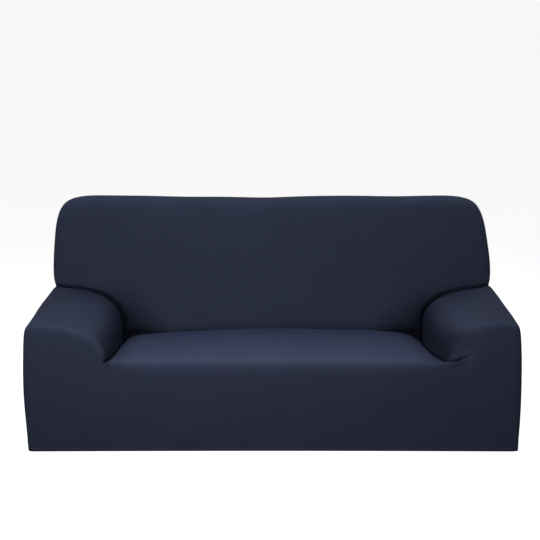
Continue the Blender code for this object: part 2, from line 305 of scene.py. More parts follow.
def top_row(i, k):
    """Over the top of the back rest."""
    front = back_row(i, J_TOP)
    row = TOP_ROWS[k - K_BACK]
    return np.array((front[0], mix(front[1], REAR_Y, row.share), front[2] + TOP_ROWS[0].drop - row.drop))


def side_row(i, j, k):
    """The outer side: under the arm's top it runs the whole depth, above it only beside the back rest."""
    if j > J_DECK:
        front = back_row(i, j)
        return np.array((front[0], mix(front[1], REAR_Y, TOP_ROWS[k - K_BACK].share), front[2]))
    front = front_row(i, j)
    junction = deck_row(i, K_BACK)
    if k <= K_BACK:
        y = deck_row(i, k)[1]
    else:
        y = mix(junction[1], REAR_Y, TOP_ROWS[k - K_BACK].share)
    if j == J_DECK:
        return np.array((mix(junction[0], back_row(i, J_DECK + 1)[0], 0.5), y, junction[2]))
    return np.array((front[0], y, front[2]))


def rear_row(i, j):
    """Up the rear, from the hem. Its rows are level with those of the outer side."""
    top = top_row(i, K_REAR)
    if j == J_TOP:
        return top
    if i in (0, LAST):
        return side_row(i, j, K_REAR)
    share = BACK_ROWS[j - J_DECK - 1].share if j > J_DECK else 0.0
    z = side_row(0, j, K_REAR)[2] + (top[2] - top_row(0, K_REAR)[2]) * share
    return np.array((mix(COLUMNS[i][0].x_hem, top[0], z / top[2]), REAR_Y, z))


def net_point(i, j, k):
    """The net's point at column i and rows j and k."""
    if k == K_REAR:
        return rear_row(i, j)
    if k == 0:
        return front_row(i, j)
    if j == J_DECK and k <= K_BACK:
        return deck_row(i, k)
    if k == K_BACK and j > J_DECK:
        return back_row(i, j)
    if j == J_TOP:
        return top_row(i, k)
    return side_row(i, j, k)


def deck_panel(i):
    """The panel on top between columns i and i + 1."""
    if i < LEFT_TUCK:
        return "arm_left"
    return "arm_right" if i >= RIGHT_TUCK else "seat_and_front"


def upright(i, j, k):
    """A cell that faces the front or the rear, by its lower left corner seen from the front."""
    return (i, j, k), (i + 1, j, k), (i + 1, j + 1, k), (i, j + 1, k)


def level(i, j, k):
    """A cell that faces up, by its front left corner."""
    return (i, j, k), (i + 1, j, k), (i + 1, j, k + 1), (i, j, k + 1)


def sideways(i, j, k):
    """A cell that faces right, by its lower front corner."""
    return (i, j, k), (i, j, k + 1), (i, j + 1, k + 1), (i, j + 1, k)


def cells():
    """Each cell of the net as its panel and its four corners, counter-clockwise seen from outside."""
    for i in range(LAST):
        for j in range(J_DECK):
            yield "seat_and_front", upright(i, j, 0)
        for k in range(K_BACK):
            yield deck_panel(i), level(i, J_DECK, k)
        for j in range(J_DECK, J_TOP):
            yield "inside_back", upright(i, j, K_BACK)
        for k in range(K_BACK, K_REAR):
            yield "inside_back", level(i, J_TOP, k)
        for j in range(J_TOP):
            yield "outside_back", upright(i, j, K_REAR)[::-1]
    for j in range(J_TOP):
        for k in range(0 if j < J_DECK else K_BACK, K_REAR):
            low = j < J_DECK
            yield "arm_left" if low else "inside_back", sideways(0, j, k)[::-1]
            yield "arm_right" if low else "inside_back", sideways(LAST, j, k)


def tucks():
    """The net's edges along which the cloth is pushed down between the cushions, to a sharp fold."""
    for i in (LEFT_TUCK, RIGHT_TUCK):
        yield (i, J_DECK - 1, 0), (i, J_DECK, 0)
        for k in range(K_BACK):
            yield (i, J_DECK, k), (i, J_DECK, k + 1)
    for i in range(LAST):
        yield (i, J_DECK, K_BACK), (i + 1, J_DECK, K_BACK)


def control_net():
    """The whole cover as one coarse mesh. A face's material number is its panel."""
    mesh = bpy.data.meshes.new("form")
    bm = bmesh.new()
    made = {}
    for panel, corners in cells():
        for corner in corners:
            if corner not in made:
                made[corner] = bm.verts.new(net_point(*corner))
        bm.faces.new([made[corner] for corner in corners]).material_index = PANELS.index(panel)
    sharp = bm.edges.layers.float.new("crease_edge")
    for start, end in tucks():
        bm.edges.get((made[start], made[end]))[sharp] = 1.0
    bm.to_mesh(mesh)
    bm.free()
    net = bpy.data.objects.new("form", mesh)
    bpy.context.scene.collection.objects.link(net)
    return net


# The last field is how dark the cloth is painted at each point, standing in for shade in the tucks and
# corners.
Face = namedtuple("Face", "points quads panel outward hem slack")


def rim_of(quads):
    """The edges that only one quad has, each in the direction of that quad, as rows of two points."""
    edges = np.stack((quads, np.roll(quads, -1, axis=1)), axis=2).reshape(-1, 2)
    size = int(quads.max()) + 1
    ways, back = edges[:, 0] * size + edges[:, 1], edges[:, 1] * size + edges[:, 0]
    return edges[~np.isin(ways, back)]


def outward_of(points, quads):
    """The direction away from the sofa at each point."""
    corners = points[quads]
    facing_out = np.cross(corners[:, 2] - corners[:, 0], corners[:, 3] - corners[:, 1])
    outward = np.zeros_like(points)
    for corner in range(4):
        np.add.at(outward, quads[:, corner], facing_out)
    return outward / np.linalg.norm(outward, axis=1)[:, None]


def face_of_cloth(net, fineness):
    """The stretched cloth's face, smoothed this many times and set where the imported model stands."""
    smooth = net.modifiers.new("smooth", "SUBSURF")
    smooth.levels = smooth.render_levels = fineness
    shape = net.evaluated_get(bpy.context.evaluated_depsgraph_get()).to_mesh()
    points = np.empty(len(shape.vertices) * 3)
    shape.vertices.foreach_get("co", points)
    quads = np.empty(len(shape.loops), dtype=int)
    shape.loops.foreach_get("vertex_index", quads)
    panel = np.empty(len(shape.polygons), dtype=int)
    shape.polygons.foreach_get("material_index", panel)
    points, quads = points.reshape(-1, 3), quads.reshape(-1, 4)
    net.modifiers.clear()
    low, high = points.min(axis=0), points.max(axis=0)
    shift = (np.array(cad_low) + cad_high - low - high) / 2
    shift[2] = cad_low[2] - low[2]
    points += shift
    outward = outward_of(points, quads)
    hem = np.unique(rim_of(quads))
    outward[hem, 2] = 0.0
    outward[hem] /= np.linalg.norm(outward[hem], axis=1)[:, None]
    return Face(points, quads, panel, outward, hem, np.zeros(len(points)))


FINE, COARSE = 4, 3
net = control_net()
fine = face_of_cloth(net, FINE)
coarse = face_of_cloth(net, COARSE)
bpy.data.objects.remove(net)

# ---------------------------------------------------------------------------------------------------
# Seat and front
# One piece of polyester and elastane jersey, from the tuck behind the seat, over its front roll and down to
# the hem, with the fronts of both arms. It is overlocked to its neighbours on the wrong side, and its hem
# is turned up and sewn with a twin needle.
# ---------------------------------------------------------------------------------------------------
CLOTH = 0.0012
SEAM_ALLOWANCE = 0.009
NEEDLE_LINES = (0.0125, 0.0170)
NEEDLE_PINCH = 0.0003
NEEDLE_WIDTH = 0.0012
STITCH = 0.0032

# From the cloth's face, round the seam's edge to the cloth's inner face: how far each ring lies along the
# cloth from the seam, beside the seam, and under it. The allowance stands inward, pressed against its
# neighbour's, so that the seam is closed. The last ring is on the inner face.
Ring = namedtuple("Ring", "along aside under")
SEAM_RINGS = (
    Ring(0.0024, 0.0, 0.0000),
    Ring(0.0011, 0.0, 0.0001),
    Ring(0.0004, 0.0, 0.0004),
    Ring(0.0, 0.0, 0.0016),
    Ring(0.0, 0.0, SEAM_ALLOWANCE),
    Ring(0.0, CLOTH, SEAM_ALLOWANCE),
    Ring(0.0, CLOTH, 0.0032),
    Ring(0.0024, 0.0, 0.0),
)
# The first ring takes at most this share of the way to the panel's next row, and a corner point, which has no
# next row of its own, counts as this far from one.
RING_SHARE = 0.6
CORNER_ROOM = 0.003
# Up to this height the allowance widens from the hem's double cloth to its full width.
ALLOWANCE_FULL_Z = 0.03
# The turned edge at the hem, flattened to this share of a round one.
HEM_FLATNESS = 0.8
# Over this much of its height the end of the turned hem thins out to single cloth.
HEM_END = (0.0003, 0.0015)


def smoothstep(low, high, value):
    """0 at low and 1 at high, with a smooth rise between them."""
    t = np.clip((value - low) / (high - low), 0.0, 1.0)
    return t * t * (3 - 2 * t)


# Slow swells of the taut cloth between the places that carry it: waves across the panels, as the numbers of
# waves per metre along x, y and z, with their height in metres.
Swell = namedtuple("Swell", "x y z height start")
SWELLS = (
    Swell(1.3, 0.7, 0.9, 0.0010, 0.4),
    Swell(-2.1, 1.6, 2.3, 0.0007, 2.1),
    Swell(3.4, -2.2, 1.2, 0.0004, 4.0),
    Swell(0.8, 3.1, -3.7, 0.0004, 1.2),
)
# The swells grow from nothing at the hem to their full height here.
SWELLS_FULL_Z = 0.06

# Creases and ridges that tension leaves in the cloth. Each runs through the points that are listed, with
# its depth there in metres. A ridge has a negative depth. wide is its half-width.
Crease = namedtuple("Crease", "wide points")
CREASES = (
    # The pull that runs down from the front end of the left tuck.
    Crease(0.0060, ((-0.620, -0.431, 0.345, 0.002), (-0.650, -0.431, 0.318, 0.0))),
    # The faint line where the cloth turns over the front of the right arm.
    Crease(0.0050, (
        (0.800, -0.420, 0.496, 0.0),
        (0.845, -0.424, 0.494, 0.0015),
        (0.880, -0.424, 0.489, 0.0),
    )),
)

# How far the tuck behind the arms and the seat stands open, at the columns from a side to the middle.
TUCK_OPEN = {
    "edge": 0.004, "top_outer": 0.008, "top": 0.010, "shoulder_high": 0.013, "shoulder_low": 0.019,
    "wall": 0.028, "lip": 0.036, "tuck": 0.040, "seat_lip": 0.032, "seat_left": 0.008,
    "seat_mid_left": 0.005, "seat_middle": 0.004, "seat_mid_right": 0.005, "seat_right": 0.008,
}
# The mouth's half-width where it is open this far.
MOUTH_OPEN = (0.010, 0.040)
MOUTH_WIDE = (0.007, 0.030)
# The mouth starts this share of its half-width below the place where the cloth turns in, and goes down to the
# bottom of the tuck in these steps.
MOUTH_SUNK = 0.8
MOUTH_STEPS = (0.0, 0.33, 0.66, 1.0)
# How much deeper the narrow bottom of a tuck beside the seat is than the smoothed net shows.
SLIT_DEEP = 0.012
SLIT_WIDE = 0.0050
# Over how many points of its line a tuck beside the seat runs out on the front.
TUCK_FADES = ((LEFT_TUCK, 6), (RIGHT_TUCK, 3))


def tuck_line(i):
    """The bottom of the tuck beside the seat, from the back rest to its end on the front of the arm: the
    smooth curve that the net's points lead along."""
    control = [deck_row(i, k) for k in range(K_BACK, -1, -1)] + [front_row(i, J_DECK - 1)]
    control = np.array([2 * control[0] - control[1]] + control + [2 * control[-1] - control[-2]])
    line = []
    for span in zip(control, control[1:], control[2:], control[3:]):
        for t in (0.0, 0.25, 0.5, 0.75):
            # The weights of a uniform cubic B-spline.
            weights = (1 - t) ** 3, 3 * t**3 - 6 * t**2 + 4, -3 * t**3 + 3 * t**2 + 3 * t + 1, t**3
            line.append(np.array(weights) @ span / 6)
    return np.array(line)


def run_out(line, fade):
    """1 along a tuck's line, falling to 0 over its last points."""
    return smoothstep(0, fade, np.arange(len(line))[::-1])


def mouth(i):
    """The place at column i where the tuck along the back rest opens."""
    column, _ = COLUMNS[i]
    return np.array((column.x_back, back_y(column.x_back, column.z_back), column.z_back))


def tuck_creases():
    """The open mouth of the tuck along the back rest, narrow over the arms and the seat and wide in the
    corners, down to the bottom of the tuck. Then the slits at the bottom of the tucks beside the seat."""
    for i in range(LAST):
        ends = []
        for n in (i, i + 1):
            column, _ = COLUMNS[n]
            x, z = facing(n)
            ends.append((mouth(n), np.array((x, 0.0, z)), TUCK_OPEN[column.name], column.deep))
        wide = np.interp(max(ends[0][2], ends[1][2]), MOUTH_OPEN, MOUTH_WIDE)
        start = MOUTH_SUNK * wide
        for share in MOUTH_STEPS:
            path = []
            for place, way, opened, deep in ends:
                down = start + share * max(deep - start, 0.0)
                path.append((*(place - way * down), opened))
            yield Crease(wide, tuple(path))
    for i, fade in TUCK_FADES:
        line = tuck_line(i)
        depths = SLIT_DEEP * run_out(line, fade)
        yield Crease(SLIT_WIDE, tuple((*point, depth) for point, depth in zip(line, depths)))


def crease_depth(points, crease):
    """How deep a crease is at each point. Its trough has soft sides, which end within four half-widths."""
    path = np.array(crease.points)
    reach = 4 * crease.wide
    low, high = path[:, :3].min(axis=0) - reach, path[:, :3].max(axis=0) + reach
    near = ((points > low) & (points < high)).all(axis=1)
    here = points[near]
    best = np.full(len(here), np.inf)
    depth = np.zeros(len(here))
    for start, end in zip(path, path[1:]):
        run = end[:3] - start[:3]
        t = np.clip((here - start[:3]) @ run / (run @ run), 0.0, 1.0)
        away = np.linalg.norm(here - start[:3] - t[:, None] * run, axis=1)
        closer = away < best
        best[closer] = away[closer]
        depth[closer] = mix(start[3], end[3], t)[closer]
    found = np.zeros(len(points))
    found[near] = depth * np.exp(-((best / crease.wide) ** 2))
    return found


# Painted shade: the cloth in the tucks is painted dark, standing in for their shade. A crease this deep is
# painted fully dark.
SHADE_FULL_DEPTH = 0.014
# Round an open corner the cloth is painted a little darker, standing in for shade, as far as this many
# times the mouth's own half-width: from the first depth of the widened mouth, and as much more as the second
# gives, up to the third. On the seat this painted shade is weaker by the fourth.
SHADE_REACH = 5.0
AROUND_FROM = 0.006
AROUND_OVER = 0.030
SHADE_AROUND = 0.85
SEAT_WEAKER_SHADE = 0.6
# The mouth's own line of painted shade is tight beside the arms and faint behind the seat.
LINE_WIDE = 0.0065
LINE_BEHIND_SEAT = 0.5
LINE_FULL = 0.6
# The line of painted shade at the bottom of a tuck beside the seat.
SLIT_SHADE_WIDE = 0.014
SLIT_SHADE_FULL = 0.8
SLIT_SHADE = 0.9
# The share of the way up that the cloth faces, from which it counts as lying on the seat.
FACES_UP = (0.3, 0.9)


def painted_tuck_shade(points, outward):
    """Painted shade, standing in for the shade of the tucks: 1 in their bottom, falling to 0 on the taut
    cloth, and slowly around the open corners.
    """
    slack = np.zeros(len(points))

    def add(more):
        np.maximum(slack, more, out=slack)

    weaker_on_seat = 1 - SEAT_WEAKER_SHADE * smoothstep(*FACES_UP, outward[:, 2])
    for crease in tuck_creases():
        add(np.clip(crease_depth(points, crease) / SHADE_FULL_DEPTH, 0, 1))
        around = crease_depth(points, crease._replace(wide=SHADE_REACH * crease.wide))
        add(np.clip((around - AROUND_FROM) / AROUND_OVER, 0, SHADE_AROUND) * weaker_on_seat)
    shares = [1.0 if side else LINE_BEHIND_SEAT for _, side in COLUMNS]
    line = Crease(LINE_WIDE, tuple((*mouth(i), share) for i, share in enumerate(shares)))
    add(np.clip(crease_depth(points, line) / LINE_FULL, 0, 1))
    for i, fade in TUCK_FADES:
        way = tuck_line(i)
        shares = run_out(way, fade)
        line = Crease(SLIT_SHADE_WIDE, tuple((*point, share) for point, share in zip(way, shares)))
        add(SLIT_SHADE * np.clip(crease_depth(points, line) / SLIT_SHADE_FULL, 0, 1))
    return slack


def folded(face):
    """The face with its swells, its creases and the lines of the hem's stitches."""
    points = face.points
    out = np.zeros(len(points))
    for swell in SWELLS:
        out += swell.height * np.sin(2 * np.pi * (points @ np.array(swell[:3])) + swell.start)
    out *= smoothstep(0.0, SWELLS_FULL_Z, points[:, 2])
    for crease in CREASES:
        out -= crease_depth(points, crease)
    out -= np.max([crease_depth(points, crease) for crease in tuck_creases()], axis=0)
    for line in NEEDLE_LINES:
        out -= NEEDLE_PINCH * np.exp(-(((points[:, 2] - line) / NEEDLE_WIDTH) ** 2))
    # The cloth is painted dark where shade falls in the tucks and round the open corners.
    slack = painted_tuck_shade(points, face.outward)
    return face._replace(points=points + out[:, None] * face.outward, slack=slack)


def twins(coarse, fine):
    """For each point of the coarse face, the number of the fine face's point at the same place."""
    tree = KDTree(len(fine.points))
    for number, point in enumerate(fine.points):
        tree.insert(point, number)
    tree.balance()
    return np.array([tree.find(point)[1] for point in coarse.points])


twin = twins(coarse, fine)
fine = folded(fine)
coarse = coarse._replace(points=fine.points[twin], outward=fine.outward[twin], slack=fine.slack[twin])

# The backs are flatter, so they are made from the coarse face. Where a fine panel is sewn to one of them, its
# in-between points lie on the straight line between the points that both have.
COARSE_PANELS = ("inside_back", "outside_back")


def straighten_seams(fine, twin):
    """Moves the fine face's in-between points on the seams with the coarse panels."""
    is_coarse = np.isin(fine.panel, [PANELS.index(name) for name in COARSE_PANELS])
    shared = np.zeros(len(fine.points), dtype=bool)
    shared[np.unique(rim_of(fine.quads[is_coarse]))] = True
    in_both = np.zeros(len(fine.points), dtype=bool)
    in_both[twin] = True
    seam_edges = rim_of(fine.quads[~is_coarse])
    neighbours = {}
    for a, b in seam_edges[shared[seam_edges].all(axis=1)]:
        if not in_both[a]:
            neighbours.setdefault(int(a), []).append(int(b))
        if not in_both[b]:
            neighbours.setdefault(int(b), []).append(int(a))
    for point, ends in neighbours.items():
        if len(ends) == 2:
            fine.points[point] = fine.points[ends].mean(axis=0)
            fine.outward[point] = fine.outward[ends].mean(axis=0)


straighten_seams(fine, twin)


def linear(code):
    """A hex sRGB colour as linear RGBA."""
    values = [int(code[n:n + 2], 16) / 255 for n in (1, 3, 5)]
    return [v / 12.92 if v <= 0.04045 else ((v + 0.055) / 1.055) ** 2.4 for v in values] + [1.0]


def put(tree, kind, inputs=(), output=0, **settings):
    """Adds a node and returns one of its outputs. inputs are the values of its sockets, in order or as a dict
    with their names or numbers. A value may be the output that feeds the socket."""
    made = tree.nodes.new("ShaderNode" + kind)
    for name, value in settings.items():
        setattr(made, name, value)
    for socket, value in inputs.items() if isinstance(inputs, dict) else enumerate(inputs):
        if isinstance(value, bpy.types.NodeSocket):
            tree.links.new(value, made.inputs[socket])
        else:
            made.inputs[socket].default_value = value
    return made.outputs[output] if made.outputs else None


# Real jersey of this weight has 12 wales and 16 courses per centimetre. That is too fine to show, so the
# loops are drawn three times as large.
COARSER = 3
WALE = 0.01 / 12 * COARSER
COURSE = 0.01 / 16 * COARSER
# The dye's mottle is about 200 mm wide, a streak 11 mm by 140 mm, and the fuzz of fibre ends 1 mm.
MOTTLES_PER_METRE = 5.0
STREAKS_PER_METRE = (90.0, 7.0)
FUZZ_PER_METRE = 900.0
NAVY = "#343a4c"
NAVY_BETWEEN = "#24293a"
NAVY_RUBBED = "#485270"
# The dark navy painted in the tucks, the open corners and the arms' inner walls, standing in for shade.
NAVY_PAINTED_SHADE = "#12151f"
THREAD = "#3b435c"
BLOOM = "#5465a0"
# How much of the rubbed colour shows where the knit is pulled most.
RUBBED = 0.35
# How much the mottle, the streaks and the fuzz change the cloth's brightness, from its darkest to its palest
# places.
MOTTLED = 0.16
STREAKED = 0.14
FUZZED = 0.12
# How steeply a loop's legs lean, in courses up for each wale across, and how much of a rib's height comes and
# goes with its loops.
LEG_LEAN = 1.3
LOOPED = 0.45
# Half the thickness of a line of stitches as it shows, and the share of a stitch that is the gap to the next.
THREAD_HALF = 0.00045
STITCH_GAP = 0.22
# The ribs' height and the share of it that the fuzz adds. Then the cloth's roughness, and how much smoother
# it is on the ribs.
RIB_HEIGHT = 0.0005
FUZZ_RAISED = 0.25
ROUGH = 0.88
SMOOTHER = 0.10
# A mix node's sockets for colours: the share of the second colour, the two colours, and the mixed one.
SHARE, FIRST, SECOND, MIXED = 0, 6, 7, 2


def stretch_jersey():
    """Piece-dyed polyester and elastane jersey, stretched: matt navy, with a soft bloom where it turns away
    from the eye, fine upright ribs of loops, faint streaks of wider loops, and painted shade in the tucks."""
    material = bpy.data.materials.new("stretch_jersey")
    material.use_nodes = True
    tree = material.node_tree
    tree.nodes.clear()
    cloth = put(tree, "Attribute", output="Vector", attribute_name="cloth")
    across, along, pulled = put(tree, "SeparateXYZ", (cloth,)).node.outputs
    place = put(tree, "TexCoord", output="Object")

    # Each wale is two legs of loops that lean together like a V.
    wales = put(tree, "Math", (across, WALE), operation="DIVIDE")
    leg = put(tree, "Math", (wales, 0.5), operation="PINGPONG")
    over_leg = put(tree, "Math", (leg, 2 * math.pi), operation="MULTIPLY")
    ribs = put(tree, "Math", (over_leg,), operation="SINE")
    courses = put(tree, "Math", (along, COURSE), operation="DIVIDE")
    leant = put(tree, "Math", (leg, LEG_LEAN), operation="MULTIPLY")
    up_leg = put(tree, "Math", (courses, leant), operation="ADD")
    up_leg = put(tree, "Math", (up_leg, 2 * math.pi), operation="MULTIPLY")
    wave = put(tree, "Math", (up_leg,), operation="COSINE")
    loops = put(tree, "Math", (wave, 0.5, 0.5), operation="MULTIPLY_ADD")
    looped = put(tree, "Math", (loops, LOOPED, 1 - LOOPED), operation="MULTIPLY_ADD")
    relief = put(tree, "Math", (ribs, looped), operation="MULTIPLY")

    mottle = put(tree, "TexNoise", {"Vector": place, "Scale": MOTTLES_PER_METRE, "Detail": 3.0})
    streak_x = put(tree, "Math", (across, STREAKS_PER_METRE[0]), operation="MULTIPLY")
    streak_y = put(tree, "Math", (along, STREAKS_PER_METRE[1]), operation="MULTIPLY")
    streak_at = put(tree, "CombineXYZ", (streak_x, streak_y))
    streaks = put(tree, "TexNoise", {"Vector": streak_at, "Scale": 1.0, "Detail": 2.0})
    fuzz = put(tree, "TexNoise", {"Vector": place, "Scale": FUZZ_PER_METRE, "Detail": 1.0})
    tints = []
    for noise, share in ((mottle, MOTTLED), (streaks, STREAKED), (fuzz, FUZZED)):
        tints.append(put(tree, "Math", (noise, share, 1 - share / 2), operation="MULTIPLY_ADD"))
    bright = put(tree, "Math", tints[:2], operation="MULTIPLY")
    bright = put(tree, "Math", (bright, tints[2]), operation="MULTIPLY")

    # The hem's two lines of stitches: short dashes of thread at the needles' heights.
    height = put(tree, "SeparateXYZ", (place,), output="Z")
    stitch = put(tree, "Math", (across, STITCH / 2), operation="PINGPONG")
    dash = put(tree, "Math", (stitch, STITCH * STITCH_GAP / 2), operation="GREATER_THAN")
    lines = [put(tree, "Math", (height, line, THREAD_HALF), operation="COMPARE") for line in NEEDLE_LINES]
    on_line = put(tree, "Math", lines, operation="MAXIMUM")
    sewn = put(tree, "Math", (on_line, dash), operation="MULTIPLY")

    # The yarn is darker between the ribs. Where the knit is pulled, its loops are open and rubbed paler. In
    # the tucks, the open corners and on the arms' inner walls it is painted dark, standing in for shade.
    # The thread lies on top.
    rubbed = put(tree, "Math", (pulled, RUBBED), operation="MULTIPLY")
    # Painted shade: the negative share darkens the cloth where shade falls.
    slack = put(tree, "Math", (pulled, -1.0), operation="MULTIPLY")
    colour = linear(NAVY_BETWEEN)
    for share, over in ((relief, NAVY), (rubbed, NAVY_RUBBED), (slack, NAVY_PAINTED_SHADE), (sewn, THREAD)):
        both = {SHARE: share, FIRST: colour, SECOND: linear(over)}
        colour = put(tree, "Mix", both, output=MIXED, data_type="RGBA")
    tone = put(tree, "VectorMath", {0: colour, "Scale": bright}, operation="SCALE")

    raised = put(tree, "Math", (relief, sewn), operation="MAXIMUM")
    raised = put(tree, "Math", (fuzz, FUZZ_RAISED, raised), operation="MULTIPLY_ADD")
    bump = put(tree, "Bump", {"Height": raised, "Strength": 0.55, "Distance": RIB_HEIGHT})
    rough = put(tree, "Math", (relief, -SMOOTHER, ROUGH), operation="MULTIPLY_ADD")
    shader = put(tree, "BsdfPrincipled", {
        "Base Color": tone,
        "Roughness": rough,
        "Normal": bump,
        "IOR": 1.5,
        "Specular IOR Level": 0.06,
        "Sheen Weight": 0.05,
        "Sheen Roughness": 0.5,
        "Sheen Tint": linear(BLOOM),
    })
    put(tree, "OutputMaterial", {"Surface": shader})
    return material


jersey = stretch_jersey()


# The seat's cloth is pulled open up to the first distance from the middle and no more from the second on, and
# only below this height.
SEAT_PULLED_X = (0.50, 0.64)
SEAT_BELOW_Z = 0.45
# Past this distance from the middle, cloth that faces the seat is painted darker by up to this much, standing
# in for the shade on the arms' inner walls: from the first share of the way that it faces the seat to the
# second.
BESIDE_SEAT_X = 0.55
WALL_PAINTED_SHADE = 0.75
FACES_SEAT = (0.2, 1.0)
# How far the knit is pulled open at the upper edges.
EDGE_PULL = 0.45


def knit_pull_and_painted_shade(points, outward, slack):
    """How far the knit is drawn open: 1 over the seat and less at the upper edges, which carry it, 0 where
    it is only taut, and less beside the seat. Below 0 is painted shade: -1 in the bottom of a tuck, less
    round the open corners and on the arms' inner walls."""
    x, z = points[:, 0], points[:, 2]
    away, up = np.abs(x), outward[:, 2]
    # Halfway round an edge the cloth faces as much up as outward, and this is at its most, 0.5.
    over_edge = np.clip(up, 0, 1) * np.hypot(outward[:, 0], np.minimum(outward[:, 1], 0.0))
    over_edge = EDGE_PULL * np.clip(2 * over_edge, 0, 1) ** 2
    over_seat = (1 - smoothstep(*SEAT_PULLED_X, away)) * smoothstep(*FACES_UP, up) * (z < SEAT_BELOW_Z)
    # The arms' inner walls beside the seat are painted darker, standing in for shade.
    wall_shade_mask = smoothstep(*FACES_SEAT, -np.sign(x) * outward[:, 0]) * (away > BESIDE_SEAT_X)
    pulled = np.maximum(over_edge, over_seat) * (1 - slack) * (1 - wall_shade_mask)
    # Painted shade is given as a negative pull.
    return pulled - np.maximum(slack, WALL_PAINTED_SHADE * wall_shade_mask)


def ways_in(points, outward, rim, in_hem):
    """From each point of the rim into the panel, at a right angle to the seam. Level at the hem."""
    way = np.zeros_like(points)
    for a, b in rim[~in_hem[rim].all(axis=1)]:
        step = np.cross(outward[a] + outward[b], points[b] - points[a])
        step /= np.linalg.norm(step)
        way[a] += step
        way[b] += step
    way[in_hem, 2] = 0.0
    length = np.linalg.norm(way, axis=1)
    way[length > 0] /= length[length > 0][:, None]
    return way


def room_inside(points, quads, rim):
    """How far it is from each point of the rim to the panel's next row."""
    on_rim = np.zeros(len(points), dtype=bool)
    on_rim[rim] = True
    room = np.full(len(points), np.inf)
    for corner in range(4):
        for p, q in ((quads[:, corner], quads[:, corner - 1]), (quads[:, corner - 1], quads[:, corner])):
            inner = on_rim[p] & ~on_rim[q]
            np.minimum.at(room, p[inner], np.linalg.norm(points[p[inner]] - points[q[inner]], axis=1))
    room[~np.isfinite(room)] = CORNER_ROOM
    return room


def edge_rings(points, quads, outward, rim, in_hem):
    """Rings of points from the face round to the inner face, for each point of the rim: at a seam over its
    allowance, and at the hem round the fold."""
    own = outward_of(points, quads)
    share = np.minimum(1.0, RING_SHARE * room_inside(points, quads, rim) / SEAM_RINGS[0].along)[:, None]
    here = np.unique(rim)
    aside = ways_in(points, outward, rim, in_hem)[here]
    along = ways_in(points, own, rim, in_hem)[here] * share[here]
    base, out, hem_here = points[here], outward[here], in_hem[here][:, None]
    flap = mix(2 * CLOTH, SEAM_ALLOWANCE, smoothstep(0.0, ALLOWANCE_FULL_Z, base[:, 2]))[:, None]
    rings = []
    for step, ring in enumerate(SEAM_RINGS):
        sewn = base + along * ring.along + aside * ring.aside
        sewn -= own[here] * CLOTH if ring is SEAM_RINGS[-1] else out * np.minimum(ring.under, flap)
        turn = math.pi * step / (len(SEAM_RINGS) - 1)
        turned = base + aside * np.maximum(ring.along, ring.aside) - out * CLOTH * (1 - math.cos(turn))
        turned[:, 2] += CLOTH * HEM_FLATNESS * (1 - math.sin(turn))
        rings.append(np.where(hem_here, turned, sewn))
    return here, rings


def sewn_panel(name, face, cloth_at):
    """One panel as a thin closed sheet: face, turned edges and inner face. cloth_at gives a place's distance
    across and along the cloth, in metres."""
    quads = face.quads[face.panel == PANELS.index(name)]
    used, quads = np.unique(quads, return_inverse=True)
    quads = quads.reshape(-1, 4)
    points, outward = face.points[used], face.outward[used]
    rim = rim_of(quads)
    rim_points, rings = edge_rings(points, quads, outward, rim, np.isin(used, face.hem))
    points[rim_points] = rings[0]

    # The hem is turned up inside, so the cloth is double there.
    thin, full = HEM_TURN + HEM_END[1], HEM_TURN + HEM_END[0]
    inner = points - outward * (CLOTH * (1 + smoothstep(thin, full, points[:, 2])))[:, None]
    inner[rim_points] = rings[-1]

    # The rings' points are numbered after those of the face and of the inner face.
    count, ring_size = len(points), len(rim_points)
    chain = [rim_points]
    chain += [2 * count + n * ring_size + np.arange(ring_size) for n in range(len(rings) - 2)]
    chain += [rim_points + count]
    place_in_ring = np.full(count, -1)
    place_in_ring[rim_points] = np.arange(ring_size)
    a, b = place_in_ring[rim].T
    faces = [quads, quads[:, ::-1] + count]
    for upper, lower in zip(chain, chain[1:]):
        faces.append(np.stack((upper[b], upper[a], lower[a], lower[b]), axis=1))

    mesh = bpy.data.meshes.new(name)
    everything = np.concatenate([points, inner] + rings[1:-1])
    mesh.from_pydata(everything.tolist(), [], np.concatenate(faces).tolist())
    mesh.shade_smooth()
    source = np.concatenate([np.arange(count), np.arange(count)] + [rim_points] * (len(rings) - 2))
    # The knit's pull, and the painted shade that stands in for shade in the tucks, as the vector's third
    # value.
    pull = knit_pull_and_painted_shade(points, outward, face.slack[used])
    cloth = np.concatenate((cloth_at(points), pull[:, None]), axis=1)[source]
    layer = mesh.attributes.new("cloth", "FLOAT_VECTOR", "POINT")
    layer.data.foreach_set("vector", cloth.astype(np.float32).ravel())
    mesh.materials.append(jersey)
    panel = bpy.data.objects.new("sewn_" + name, mesh)
    bpy.context.scene.collection.objects.link(panel)
    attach(panel, "root")
    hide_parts(name)
    return panel


def on_seat(points):
    """Ribs that run up the front and back over the seat."""
    return np.stack((points[:, 0], points[:, 1] + points[:, 2]), axis=1)


# The front's flat cut is 1.76 m wide at the hem, and the seat's part of it 1.2 m.
seat_and_front = sewn_panel("seat_and_front", fine, on_seat)

# ---------------------------------------------------------------------------------------------------
# Arms
# Each is one piece of the same jersey, from the tuck beside the seat, up the inner wall, over the top and
# down the outer side to the hem. It is overlocked to the front, the seat, the back and the rear.
# ---------------------------------------------------------------------------------------------------
ARM_TOP_Z = 0.50
ARM_MIDDLE_X = 0.84


def on_arm(points):
    """Ribs that run from the outer hem over the arm."""
    x = np.abs(points[:, 0])
    over = np.where(x > ARM_MIDDLE_X, points[:, 2] - ARM_TOP_Z, ARM_TOP_Z - points[:, 2])
    return np.stack((points[:, 1], ARM_TOP_Z + WIDTH / 2 - x + over), axis=1)


arm_left = sewn_panel("arm_left", fine, on_arm)
arm_right = sewn_panel("arm_right", fine, on_arm)

